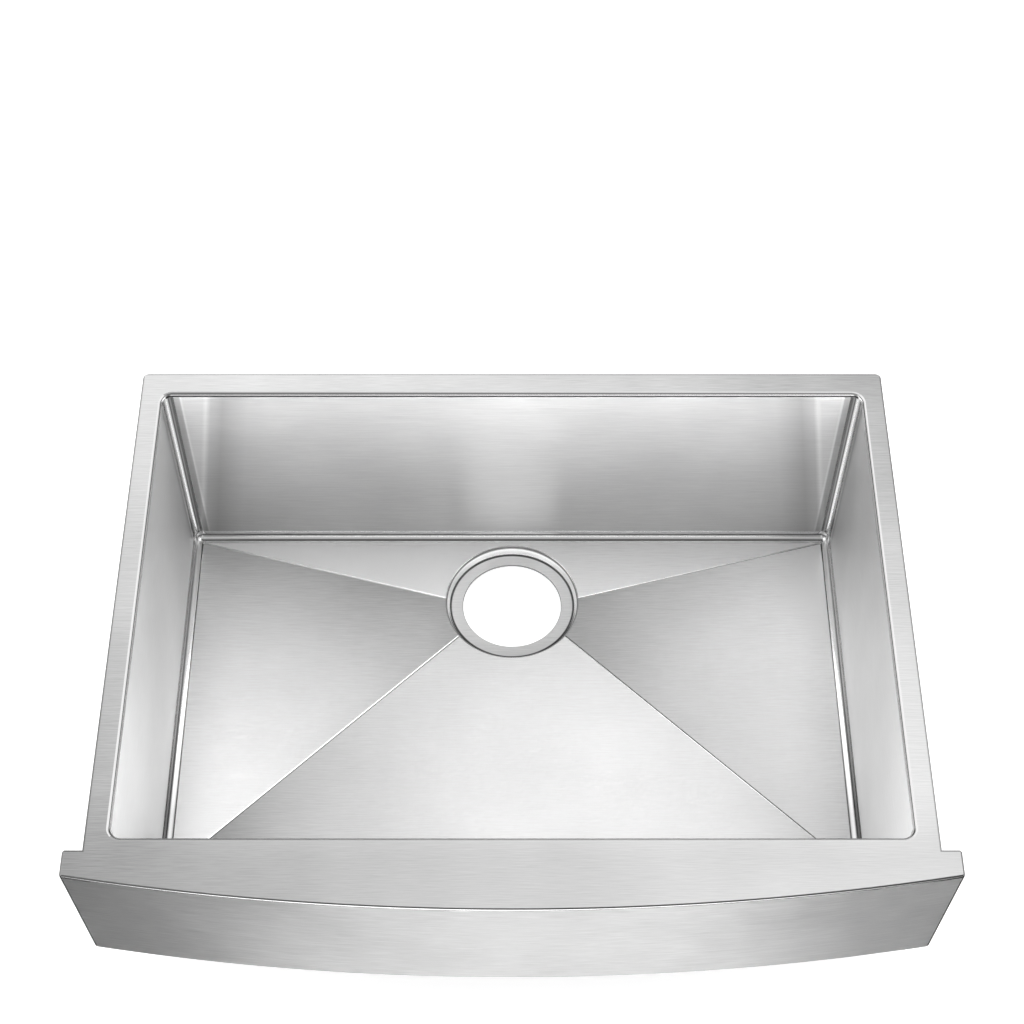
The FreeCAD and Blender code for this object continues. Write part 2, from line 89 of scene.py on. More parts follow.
# %% Camera
PICTURE = 1024
FOCAL_PIXELS = 1968.7
SENSOR = 36.0
CENTRE_ROW = 675
EYE = (0, -1084.8 * MM, 1273.0 * MM)
LOOKS_DOWN = 58.01
camera = bpy.data.objects.new("camera", bpy.data.cameras.new("camera"))
bpy.context.scene.collection.objects.link(camera)
camera.data.sensor_width = SENSOR
camera.data.lens = FOCAL_PIXELS / PICTURE * SENSOR
camera.data.shift_y = (CENTRE_ROW - PICTURE / 2) / PICTURE
camera.location = EYE
camera.rotation_euler = (math.radians(90 - LOOKS_DOWN), 0, 0)
bpy.context.scene.camera = camera
print("lens:", round(camera.data.lens, 1), "mm, shift:", round(camera.data.shift_y, 3))

# %% [markdown]
# ## Helpers for working in edit mode
# Every operator acts on what is selected.  These helpers open one piece with nothing selected, and select
# its corners, edges or faces by where they are.

# %% Edit mode helpers
def open_piece(piece, level="EDGE"):
    """Edit one piece, with nothing selected."""
    close_piece()
    bpy.ops.object.select_all(action="DESELECT")
    piece.select_set(True)
    bpy.context.view_layer.objects.active = piece
    bpy.ops.object.mode_set(mode="EDIT")
    bpy.ops.mesh.select_mode(type=level)
    bpy.ops.mesh.select_all(action="DESELECT")


def close_piece():
    if bpy.context.mode != "OBJECT":
        bpy.ops.object.mode_set(mode="OBJECT")


def choose(piece, kind, test):
    """Select the "verts", "edges" or "faces" for which test is true, and nothing else."""
    bpy.ops.mesh.select_mode(type={"verts": "VERT", "edges": "EDGE", "faces": "FACE"}[kind])
    bpy.ops.mesh.select_all(action="DESELECT")
    mesh = bmesh.from_edit_mesh(piece.data)
    mesh.normal_update()
    found = [item for item in getattr(mesh, kind) if test(item)]
    for item in found:
        item.select_set(True)
    bmesh.update_edit_mesh(piece.data)
    if not found:
        raise RuntimeError(f"{piece.name}: no {kind} chosen")
    return len(found)


def near(a, b, gap=0.05 * MM):
    return abs(a - b) < gap


def ends(edge, test):
    """True if both ends of an edge pass the test."""
    return all(test(vert.co) for vert in edge.verts)


def middle(edge):
    return (edge.verts[0].co + edge.verts[1].co) / 2


def box_between(name, low, high):
    """A box between two corners, as the start of a folded piece."""
    close_piece()
    bpy.ops.object.select_all(action="DESELECT")
    low, high = Vector(low), Vector(high)
    bpy.ops.mesh.primitive_cube_add(size=1, location=(low + high) / 2)
    box = bpy.context.object
    box.name = name
    box.scale = high - low
    bpy.ops.object.transform_apply(location=True, rotation=True, scale=True)
    return box


def finish_with(piece, kind, **settings):
    """Add a modifier to a piece and apply it at once."""
    close_piece()
    bpy.ops.object.select_all(action="DESELECT")
    piece.select_set(True)
    bpy.context.view_layer.objects.active = piece
    modifier = piece.modifiers.new(kind.lower(), kind)
    for name, value in settings.items():
        setattr(modifier, name, value)
    bpy.ops.object.modifier_apply(modifier=modifier.name)


# %% [markdown]
# ## The bowl: fold the walls
# The real blank is a cross whose arms fold up into walls.  An open box is the same shape.  One bevel over its
# upright edges and the edges of its floor gives every bend one radius, and where three bends meet it makes
# the eighth of a ball that a press leaves in such a corner.

# %% Bowl walls and bends
BEND_STEPS = 10
bowl = box_between("bowl_sheet", (-WALL_HALF, WALL_FRONT, FLOOR), (WALL_HALF, WALL_BACK, 0))
open_piece(bowl)
choose(bowl, "faces", lambda face: face.normal.z > MOSTLY)
bpy.ops.mesh.delete(type="FACE")
choose(bowl, "edges", lambda edge: not ends(edge, lambda co: near(co.z, 0)))
bpy.ops.mesh.bevel(offset=BEND, segments=BEND_STEPS, affect="EDGES", clamp_overlap=False)
bpy.ops.mesh.select_all(action="SELECT")
bpy.ops.mesh.flip_normals()
print("bowl: walls with", len(bmesh.from_edit_mesh(bowl.data).faces), "faces")

# %% [markdown]
# ## The bowl: crease the floor
# Four slight creases lead the water to the drain.  The floor falls from both sides and from both ends, and
# the creases lie where two falls are equally deep.  The flat floor is taken out, a ring is added where the
# drain's recess begins, and four flat facets are filled in between the creases.  Their creases start in the
# back corners and, in front, on a line that bisect cuts across the sink.

# %% Falls of the floor
DRAIN_Y = -84 * MM
FALL = 4 * MM
CREASE_FOOT = FLOOR_FRONT + 65 * MM
BACK_FALL_ENDS = DRAIN_Y - 11.5 * MM
FRONT_FALL_ENDS = DRAIN_Y + 10.3 * MM
BACK_RATE = FALL / (FLOOR_BACK - BACK_FALL_ENDS)
FRONT_RATE = FALL / (FRONT_FALL_ENDS - CREASE_FOOT)
VALLEY_Y = (BACK_RATE * FLOOR_BACK + FRONT_RATE * CREASE_FOOT) / (BACK_RATE + FRONT_RATE)
VALLEY_FALL = BACK_RATE * (FLOOR_BACK - VALLEY_Y)
VALLEY_HALF = FLOOR_HALF * (1 - VALLEY_FALL / FALL)


def fall_at(x, y):
    """How deep the creased floor lies below its edge."""
    ends_fall = min(BACK_RATE * (FLOOR_BACK - y), FRONT_RATE * (y - CREASE_FOOT))
    sides_fall = FALL * (1 - abs(x) / FLOOR_HALF)
    return max(0, min(ends_fall, sides_fall))


print("floor: falls", round(VALLEY_FALL / MM, 2), "mm to the drain")

# %% Where the creases reach the drain's ring
MOUTH = 60.3 * MM
CREASE_STARTS = [(FLOOR_HALF, FLOOR_BACK), (-FLOOR_HALF, FLOOR_BACK),
                 (-FLOOR_HALF, CREASE_FOOT), (FLOOR_HALF, CREASE_FOOT)]


def ring_meeting(start):
    """Angle round the drain at which the crease from start meets the ring."""
    side = math.copysign(1, start[0])
    a = Vector(start) - Vector((0, DRAIN_Y))
    b = Vector((side * VALLEY_HALF, VALLEY_Y)) - Vector((0, DRAIN_Y))
    along = b - a
    half_b, c = a.dot(along), a.length_squared - MOUTH ** 2
    share = (-half_b - math.sqrt(half_b ** 2 - along.length_squared * c)) / along.length_squared
    meeting = a + along * share
    return math.atan2(meeting.y, meeting.x) % math.tau


meetings = [ring_meeting(start) for start in CREASE_STARTS]
print("creases meet the ring at", [round(math.degrees(angle), 1) for angle in meetings], "degrees")

# %% Floor facets round the ring
RING_STEP = math.radians(2.5)
ring_angles = []
for here, after in zip(meetings, meetings[1:] + meetings[:1]):
    span = (after - here) % math.tau
    steps = round(span / RING_STEP)
    ring_angles += [here + span * step / steps for step in range(steps)]

open_piece(bowl)
bpy.ops.mesh.select_all(action="SELECT")
bpy.ops.mesh.bisect(plane_co=(0, CREASE_FOOT, 0), plane_no=(0, 1, 0))
choose(bowl, "faces", lambda face: face.calc_center_median().y > CREASE_FOOT
       and all(near(vert.co.z, FLOOR, TINY) for vert in face.verts))
bpy.ops.mesh.delete(type="ONLY_FACE")
close_piece()
bpy.ops.object.select_all(action="DESELECT")
bpy.ops.mesh.primitive_circle_add(vertices=len(ring_angles), radius=MOUTH, location=(0, DRAIN_Y, FLOOR))
ring = bpy.context.object
bpy.ops.object.transform_apply(location=True, rotation=True, scale=True)
for vert, angle in zip(ring.data.vertices, ring_angles):
    x, y = MOUTH * math.cos(angle), DRAIN_Y + MOUTH * math.sin(angle)
    vert.co = (x, y, FLOOR - fall_at(x, y))
bowl.select_set(True)
bpy.context.view_layer.objects.active = bowl
bpy.ops.object.join()


def is_at(co, x, y):
    return near(co.x, x, ROUGHLY) and near(co.y, y, ROUGHLY) and co.z < FLOOR + TINY


def on_ring(co):
    return near(math.hypot(co.x, co.y - DRAIN_Y), MOUTH, ROUGHLY)


def angle_of(co):
    return math.atan2(co.y - DRAIN_Y, co.x) % math.tau


def ring_point(angle):
    return Vector((MOUTH * math.cos(angle), DRAIN_Y + MOUTH * math.sin(angle)))


def place_on_crease(co, number):
    """A point's distance from one crease's line, and its distance along it from the crease's start."""
    start = Vector(CREASE_STARTS[number])
    along = ring_point(meetings[number]) - start
    offset = co.xy - start
    return abs(along.cross(offset)) / along.length, offset.dot(along) / along.length


def is_crease(edge, numbers=range(4)):
    """True for an edge that lies along one of these creases."""
    return any(all(place_on_crease(vert.co, number)[0] < TINY and vert.co.z < FLOOR + TINY
                   for vert in edge.verts) for number in numbers)


# %% Draw the creases
GROOVE_START = 9 * MM
open_piece(bowl)
for start, angle in zip(CREASE_STARTS, meetings):
    x, y = ring_point(angle)
    choose(bowl, "verts", lambda vert: is_at(vert.co, *start) or is_at(vert.co, x, y))
    bpy.ops.mesh.edge_face_add()
    bpy.ops.mesh.subdivide(number_cuts=1)
    halfway = [vert for vert in bmesh.from_edit_mesh(bowl.data).verts
               if vert.select and not is_at(vert.co, *start) and not is_at(vert.co, x, y)][0]
    corner = Vector((start[0], start[1], FLOOR))
    halfway.co = corner + (halfway.co - corner).normalized() * GROOVE_START
bmesh.update_edit_mesh(bowl.data)
print("creases: drawn from the floor's corners to the ring")

# %% Fill the facets between them
for number, here in enumerate(meetings):
    neighbour = (number + 1) % 4
    span = (meetings[neighbour] - here) % math.tau
    first, second = CREASE_STARTS[number], CREASE_STARTS[neighbour]

    def borders_facet(edge):
        """True for the edges round one facet: a stretch of the ring, two creases and the floor's edge."""
        if not edge.is_boundary and not edge.is_wire:
            return False
        if ends(edge, on_ring):
            return (angle_of(middle(edge)) - here) % math.tau < span
        tips = [any(is_at(vert.co, *start) for vert in edge.verts) for start in (first, second)]
        return all(tips) or is_crease(edge, (number, neighbour))

    choose(bowl, "edges", borders_facet)
    bpy.ops.mesh.edge_face_add()
bpy.ops.mesh.select_all(action="SELECT")
bpy.ops.mesh.normals_make_consistent(inside=True)
open_edges = [edge for edge in bmesh.from_edit_mesh(bowl.data).edges if edge.is_boundary]
print("floor: open edges only round the mouth and the drain:", len(open_edges))
close_piece()

# %% [markdown]
# ## The bowl: press the creases
# A press brake leaves each crease as a narrow groove with rounded shoulders, which shows as one bright and
# one dark line.  Each crease gets one more corner near its start, where the groove runs out, and a bevel
# widens it into a strip.  The strip's corners then go down along a half wave, deepest in the middle.

# %% Crease grooves
GROOVE_HALF = 0.9 * MM
GROOVE_DEPTH = 0.14 * MM
GROOVE_STEPS = 4
GROOVE_REACH = 0.95 * GROOVE_HALF


def groove_depth(co):
    """How far the press pushes a point of the floor down."""
    if co.z > FLOOR + TINY:
        return 0.0
    for number in range(4):
        away, along = place_on_crease(co, number)
        if away < GROOVE_REACH and along > GROOVE_START / 2:
            return GROOVE_DEPTH * (1 + math.cos(math.pi * away / GROOVE_HALF)) / 2
    return 0.0


open_piece(bowl)
choose(bowl, "edges", is_crease)
bpy.ops.mesh.bevel(offset=GROOVE_HALF, segments=GROOVE_STEPS, affect="EDGES", clamp_overlap=False)
pressed = 0
for vert in bmesh.from_edit_mesh(bowl.data).verts:
    depth = groove_depth(vert.co)
    vert.co.z -= depth
    pressed += depth > 0
bmesh.update_edit_mesh(bowl.data)
print("creases:", pressed, "points pressed down")

# %% [markdown]
# ## The bowl: draw the drain's recess
# The strainer's seat is drawn down from the floor in one smooth step, so the ring's edge is extruded again
# and again: each time a little narrower and a little nearer to the seat's level, along a half wave.  The last
# extrusion runs level to the hole.

# %% Drain recess
SEAT = -210 * MM
SEAT_RADIUS = 55.5 * MM
HOLE_RADIUS = 44.5 * MM
DRAW_STEPS = 12


def around_drain(co, radius, gap=0.3 * MM):
    return near(math.hypot(co.x, co.y - DRAIN_Y), radius, gap)


choose(bowl, "edges", lambda edge: edge.is_boundary and ends(edge, lambda co: around_drain(co, MOUTH, MM)))
radius, height = MOUTH, 1.0
for step in range(1, DRAW_STEPS + 1):
    share = step / DRAW_STEPS
    next_radius = MOUTH - (MOUTH - SEAT_RADIUS) * share
    next_height = (1 + math.cos(math.pi * share)) / 2
    bpy.ops.mesh.extrude_edges_move()
    ratio = next_radius / radius
    bpy.ops.transform.resize(value=(ratio, ratio, next_height / height), center_override=(0, DRAIN_Y, SEAT))
    radius, height = next_radius, next_height
bpy.ops.mesh.extrude_edges_move()
ratio = HOLE_RADIUS / radius
bpy.ops.transform.resize(value=(ratio, ratio, 1), center_override=(0, DRAIN_Y, SEAT))
print("drain:", round(2 * HOLE_RADIUS / MM, 1), "mm hole")

# %% [markdown]
# ## The bowl: turn out the rim
# The top edge is extruded twice.  The first ring is even all round, which gives the lip's bend clean faces to
# run on.  The second reaches the rim's outline, where the strips are unequal and the corners tighter.  A
# bevel then rolls the edge between wall and rim into the lip.

# %% Rim and lip
RING_WIDTH = 8 * MM
RIM_CORNER = 4.5 * MM
LIP_STEPS = 7


def turn_out(piece, half, back, front, back_radius, front_radius):
    """Move the chosen top edge to a wider outline, a rectangle with round corners."""
    for vert in bmesh.from_edit_mesh(piece.data).verts:
        if not vert.select:
            continue
        side = math.copysign(1, vert.co.x)
        if FLOOR_FRONT + TINY < vert.co.y < FLOOR_BACK - TINY:
            vert.co.x = side * half
            continue
        behind = vert.co.y > FLOOR_FRONT + TINY
        old = Vector((side * FLOOR_HALF, FLOOR_BACK if behind else FLOOR_FRONT))
        radius = back_radius if behind else front_radius
        new = Vector((side * (half - radius), back - radius if behind else front + radius))
        vert.co.xy = new + (vert.co.xy - old).normalized() * radius
    bmesh.update_edit_mesh(piece.data)


def on_opening(co):
    """True on the outline of the bowl's mouth, where wall and rim meet."""
    core = Vector((max(-FLOOR_HALF, min(FLOOR_HALF, co.x)), max(FLOOR_FRONT, min(FLOOR_BACK, co.y))))
    return near(co.z, 0) and near((co.xy - core).length, BEND)


choose(bowl, "edges", lambda edge: edge.is_boundary and ends(edge, lambda co: near(co.z, 0)))
bpy.ops.mesh.extrude_edges_move()
corner = BEND + RING_WIDTH
turn_out(bowl, WALL_HALF + RING_WIDTH, WALL_BACK + RING_WIDTH, WALL_FRONT - RING_WIDTH, corner, corner)
bpy.ops.mesh.extrude_edges_move()
turn_out(bowl, RIM_HALF, RIM_BACK, SEAM, RIM_CORNER, 0)
bpy.ops.mesh.select_all(action="SELECT")
bpy.ops.mesh.remove_doubles(threshold=TINY)
lip = choose(bowl, "edges", lambda edge: not edge.is_boundary and ends(edge, on_opening))
bpy.ops.mesh.bevel(offset=LIP_BEND, segments=LIP_STEPS, affect="EDGES", clamp_overlap=False)
print("rim: lip rolled over", lip, "edges")

# %% [markdown]
# ## Finishes on one sheet
# A brushed sheet doesn't look the same all over.  The brush runs from side to side on the level faces, the
# front and the back, and from front to back on the side walls.  Each facet of the floor, each wall and each
# bend also has a finish of its own, because each carries its own painted reflection: the studio's light and
# shade painted into its colour.
# Bends are polished where the press stretches them, and the hidden side keeps the dull skin that it came from
# the mill with.  So each sheet has a place for every finish, and each face gets its finish from where it lies
# and which way it faces.

# %% Sort faces into finishes
FINISHES = ["brushed_rim", "facet_back", "facet_front", "facet_left", "facet_right", "drain_seat",
            "wall_back", "wall_left", "wall_right", "apron_face", "shaded_apron_end", "rolled_lip", "side_lip",
            "corner_bend", "floor_bend", "side_bend", "drawn_ring", "back_crease", "front_crease",
            "apron_fold", "shaded_cut_edge", "mill_skin"]
CUT = FINISHES.index("shaded_cut_edge")
MILL = FINISHES.index("mill_skin")
FLAT = 0.998
ALMOST_FLAT = 0.98
ALMOST_LEVEL = 0.02


def in_groove(point):
    """True inside one of the four pressed grooves."""
    for number in range(4):
        away, along = place_on_crease(point, number)
        length = (ring_point(meetings[number]) - Vector(CREASE_STARTS[number])).length
        if away < GROOVE_HALF and 0 < along < length:
            return point.z < FLOOR + TINY
    return False


def floor_finish(point, corners):
    """The finish of a face of the bowl's floor."""
    if point.z < SEAT + MM / 2:
        return "drain_seat"
    if all(math.hypot(corner.x, corner.y - DRAIN_Y) < MOUTH + TINY for corner in corners):
        return "drawn_ring"
    if in_groove(point):
        return "back_crease" if point.y > DRAIN_Y else "front_crease"
    sides_fall = FALL * (1 - abs(point.x) / FLOOR_HALF)
    if BACK_RATE * (FLOOR_BACK - point.y) < sides_fall:
        return "facet_back"
    if FRONT_RATE * (point.y - CREASE_FOOT) < sides_fall:
        return "facet_front"
    return "facet_left" if point.x < 0 else "facet_right"


def bowl_finish(point, normal, corners):
    """The finish of a face of the bowl, by where it lies and where it faces."""
    across, along, up = (abs(part) for part in normal)
    if up > FLAT and point.z > FLOOR / 2:
        return "brushed_rim"
    if up > FLAT or abs(point.x) < FLOOR_HALF and FLOOR_FRONT < point.y < FLOOR_BACK:
        return floor_finish(point, corners)
    if along > FLAT:
        return "wall_back"
    if across > FLAT:
        return "wall_left" if point.x < 0 else "wall_right"
    if point.z > -LIP_BEND:
        return "side_lip" if across > along else "rolled_lip"
    if up < ALMOST_LEVEL:
        return "corner_bend"
    return "side_bend" if across > along else "floor_bend"


def sort_faces(piece, finish_of):
    """Give each face of a sheet the number of its finish."""
    close_piece()
    piece.data.materials.clear()
    for name in FINISHES:
        piece.data.materials.append(bpy.data.materials.get(name) or bpy.data.materials.new(name))
    for face in piece.data.polygons:
        corners = [piece.data.vertices[index].co for index in face.vertices]
        face.material_index = FINISHES.index(finish_of(face.center, face.normal, corners))


sort_faces(bowl, bowl_finish)
print("finishes:", ", ".join(FINISHES))

# %% [markdown]
# ## The bowl: give the sheet its thickness
# So far the bowl is a skin, the side that one sees.  Solidify gives it the sheet's thickness on the other
# side.  A sheared edge is never quite sharp, so the rim's outline and the hole's edge are broken with a tiny
# bevel.  Weighted normals keep the flat panels flat right up to their bends.

# %% Sheet thickness
EDGE_BREAK = 0.35 * MM
EDGE_STEPS = 2
FLAT_WEIGHT = 80
CORNER_ANGLE = math.radians(45)
SMOOTH_ANGLE = math.radians(40)


def is_corner(edge, angle=CORNER_ANGLE):
    return len(edge.link_faces) == 2 and edge.calc_face_angle() > angle


def smooth_sheet(piece):
    """Smooth bends and flat panels."""
    close_piece()
    bpy.ops.object.select_all(action="DESELECT")
    piece.select_set(True)
    bpy.context.view_layer.objects.active = piece
    bpy.ops.object.shade_smooth_by_angle(angle=SMOOTH_ANGLE)
    finish_with(piece, "WEIGHTED_NORMAL", keep_sharp=True, weight=FLAT_WEIGHT)


THICKEN = {"thickness": SHEET, "offset": -1, "use_even_offset": True, "use_quality_normals": True,
           "material_offset": MILL, "material_offset_rim": MILL}
finish_with(bowl, "SOLIDIFY", **THICKEN)
open_piece(bowl)
choose(bowl, "edges", lambda edge: is_corner(edge) and (
    ends(edge, lambda co: near(co.z, 0)) and not ends(edge, lambda co: near(co.y, SEAM))
    or ends(edge, lambda co: near(co.z, SEAT) and around_drain(co, HOLE_RADIUS))))
# The broken edges take the cut edge's very dark tone: painted shade that draws a thin dark outline.
bpy.ops.mesh.bevel(offset=EDGE_BREAK, segments=EDGE_STEPS, affect="EDGES", clamp_overlap=False, material=CUT)
smooth_sheet(bowl)
print("bowl:", len(bowl.data.polygons), "faces")

# %% [markdown]
# ## The apron front
# This sheet starts as a box without a back and a foot.  Its long edges are subdivided and its front moved on
# to the bow, an arc of two metres' radius.  The ends lean in towards the foot, so that the front drops
# between two cabinet sides.  A lip is folded back along the foot, and one bevel rounds every fold.

# %% Apron sheet
APRON_HALF = apron_high.x
APRON_FOOT = apron_low.z
BOW_FRONT = apron_low.y
BOW_RADIUS = 1987 * MM
BOW_CENTRE = BOW_FRONT + BOW_RADIUS
BOW_STEPS = 56
END_LEAN = math.radians(2.4)
FOOT_HALF = APRON_HALF + APRON_FOOT * math.tan(END_LEAN)
FOLD = 2.2 * MM
FOLD_STEPS = 6
FOOT_LIP = 18 * MM


def bow_at(x, radius):
    return BOW_CENTRE - math.sqrt(radius ** 2 - x ** 2)


apron = box_between("apron_sheet", (-APRON_HALF, BOW_FRONT, APRON_FOOT), (APRON_HALF, SEAM, 0))
open_piece(apron)
choose(apron, "faces", lambda face: face.normal.y > MOSTLY or face.normal.z < -MOSTLY)
bpy.ops.mesh.delete(type="FACE")
choose(apron, "edges", lambda edge: edge.calc_length() > APRON_HALF)
bpy.ops.mesh.subdivide(number_cuts=BOW_STEPS - 1)
choose(apron, "verts", lambda vert: near(vert.co.z, APRON_FOOT))
bpy.ops.transform.resize(value=(FOOT_HALF / APRON_HALF, 1, 1), center_override=(0, 0, 0))
for vert in bmesh.from_edit_mesh(apron.data).verts:
    if near(vert.co.y, BOW_FRONT):
        vert.co.y = bow_at(vert.co.x, BOW_RADIUS)
choose(apron, "edges", lambda edge: edge.is_boundary and ends(edge, lambda co: near(co.z, APRON_FOOT)))
bpy.ops.mesh.extrude_edges_move()
for vert in bmesh.from_edit_mesh(apron.data).verts:
    if vert.select:
        vert.co.x *= (APRON_HALF - FOOT_LIP) / FOOT_HALF
        if not near(vert.co.y, SEAM):
            vert.co.y = bow_at(vert.co.x, BOW_RADIUS - FOOT_LIP)
bmesh.update_edit_mesh(apron.data)
folds = choose(apron, "edges", is_corner)
bpy.ops.mesh.bevel(offset=FOLD, segments=FOLD_STEPS, affect="EDGES", clamp_overlap=False)


def apron_finish(point, normal, corners):
    """The finish of a face of the apron: its deck, its bowed face, its ends or a fold between them."""
    if normal.z > ALMOST_FLAT:
        return "brushed_rim"
    if abs(normal.x) > abs(normal.y):
        # Faces turned sideways get the dark ends' painted shade.
        return "shaded_apron_end"
    return "apron_face" if max(abs(normal.y), abs(normal.z)) > ALMOST_FLAT else "apron_fold"


sort_faces(apron, apron_finish)
finish_with(apron, "SOLIDIFY", **THICKEN)
print("apron:", folds, "edges folded")

# %% [markdown]
# ## The apron's tabs
# Where the deck stands past the rim, its back corners are ground round.  The easiest way is to keep only what
# lies inside a larger box whose own back edges are bevelled to that radius.

# %% Round tabs
TAB_CORNER = 2.5 * MM
TAB_STEPS = 6
grinder = box_between("grinder", (-APRON_HALF - TINY, 2 * BOW_FRONT, 2 * APRON_FOOT),
                      (APRON_HALF + TINY, SEAM + TINY, -APRON_FOOT))
open_piece(grinder)
choose(grinder, "edges", lambda edge: ends(edge, lambda co: near(co.y, SEAM))
       and near(edge.verts[0].co.x, edge.verts[1].co.x))
bpy.ops.mesh.bevel(offset=TAB_CORNER, segments=TAB_STEPS, affect="EDGES")
finish_with(apron, "BOOLEAN", operation="INTERSECT", solver="EXACT", object=grinder)
bpy.data.objects.remove(grinder)
smooth_sheet(apron)
print("apron:", len(apron.data.polygons), "faces")

# %% [markdown]
# ## Brackets and damping pads
# The frame's brackets and pads have the right shape, but their edges are knife sharp.  Each is copied, its
# loose triangles are merged and joined into flat faces again, and a small bevel softens the edges: a little
# on the steel brackets, and more on the rubber pads.

# %% Soften the hidden pieces
BRACKETS = ["apron_bracket_left", "apron_bracket_centre", "apron_bracket_right"]
PADS = ["pad_apron", "pad_back", "pad_left", "pad_right", "pad_front", "pad_floor_front", "pad_floor_left",
        "pad_floor_right"]
BRACKET_EDGE = 0.4 * MM
PAD_EDGE = 0.7 * MM
SOFT_STEPS = 3
SAME_PLANE = math.radians(0.4)


def soft_copy(name, softening):
    """A copy of a node with its edges bevelled."""
    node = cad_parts[name]
    copy = bpy.data.objects.new(f"{name}_piece", node.data.copy())
    bpy.context.scene.collection.objects.link(copy)
    open_piece(copy)
    bpy.ops.mesh.select_all(action="SELECT")
    bpy.ops.mesh.remove_doubles(threshold=TINY)
    bpy.ops.mesh.dissolve_limited(angle_limit=SAME_PLANE)
    choose(copy, "edges", lambda edge: is_corner(edge, SMOOTH_ANGLE))
    bpy.ops.mesh.bevel(offset=softening, segments=SOFT_STEPS, affect="EDGES")
    smooth_sheet(copy)
    return copy


hidden = {name: soft_copy(name, BRACKET_EDGE) for name in BRACKETS}
hidden.update({name: soft_copy(name, PAD_EDGE) for name in PADS})
print("hidden pieces:", len(hidden))

# %% [markdown]
# ## Helpers for materials
# A shader node's inputs are set by name: each is either a plain value or the output of another node.  Small
# helpers for sums and places keep the recipes below short.

# %% Shader helpers
NOISE_LOW, NOISE_HIGH = 0.3, 0.7


def add_node(tree, kind, inputs, **settings):
    """Add a shader node and return its first output."""
    made = tree.nodes.new("ShaderNode" + kind)
    for name, value in settings.items():
        setattr(made, name, value)
    for name, value in inputs.items():
        if isinstance(value, bpy.types.NodeSocket):
            tree.links.new(value, made.inputs[name])
        else:
            made.inputs[name].default_value = value
    return made.outputs[0]


def place_in(tree, stretch=(1, 1, 1)):
    """The point on the piece, stretched for a texture that runs along a grain."""
    made = tree.nodes.new("ShaderNodeTexCoord")
    return add_node(tree, "Mapping", {"Vector": made.outputs["Object"], "Scale": stretch})


def spread(tree, value, low, high):
    """Noise mostly lies between NOISE_LOW and NOISE_HIGH; map it between low and high."""
    return add_node(tree, "MapRange", {"Value": value, "From Min": NOISE_LOW, "From Max": NOISE_HIGH,
                                       "To Min": low, "To Max": high})


def grey(tree, value):
    return add_node(tree, "CombineColor", {"Red": value, "Green": value, "Blue": value})


def new_material(name):
    """A material with a Principled shader, and its node tree."""
    material = bpy.data.materials.get(name) or bpy.data.materials.new(name)
    material.use_nodes = True
    return material, material.node_tree, material.node_tree.nodes["Principled BSDF"]


# %% Helpers for sums and places
def calculate(tree, operation, *values):
    return add_node(tree, "Math", dict(enumerate(values)), operation=operation)


def dot(tree, first, second):
    """How far one vector reaches along another."""
    return add_node(tree, "VectorMath", {0: first, 1: second}, operation="DOT_PRODUCT").node.outputs["Value"]


def split(tree, vector):
    """The parts "X", "Y" and "Z" of a vector."""
    return add_node(tree, "SeparateXYZ", {"Vector": vector}).node.outputs


def between(tree, value, start, end):
    """0 where a value is at start, 1 where it is at end."""
    return add_node(tree, "MapRange", {"Value": value, "From Min": start, "From Max": end})


def facing(tree, direction):
    """How squarely the surface faces a direction, from -1 to 1."""
    return dot(tree, tree.nodes.new("ShaderNodeTexCoord").outputs["Normal"], direction)


# %% [markdown]
# ## Steel
# Brushed steel is fine scratches, each a few centimetres long and less than a millimetre wide.  Noise that is
# stretched along the grain gives them.  It changes the tone and the roughness a little, and presses faint
# grooves.  Real scratches also spread a reflection across themselves, which is what anisotropy does.  The
# tangent is the direction of that spread, square to the grain.
#
# No panel of a real sink has one even tone, because it mirrors the room.  Here that light and shade are
# painted into the colour: each steel has a tone at its middle, partly its own and partly painted reflection,
# and the painted tone changes from there: lean lets it grow in one direction, twist makes opposite corners
# differ, and crown darkens both sides.

# %% Steel
ALONG, ACROSS = 45, 1500
GRAIN_SIDEWAYS = (ALONG, ACROSS, ACROSS)
GRAIN_LENGTHWISE = (ACROSS, ALONG, ACROSS)
GRAIN_ROUND_BOW = (ALONG, ALONG, ACROSS)
NO_GRAIN = (60, 60, 60)
MILL_GRAIN = (90, 90, 90)
ACROSS_LEVEL = (0, 1, 0)
UPRIGHT = (0, 0, 1)
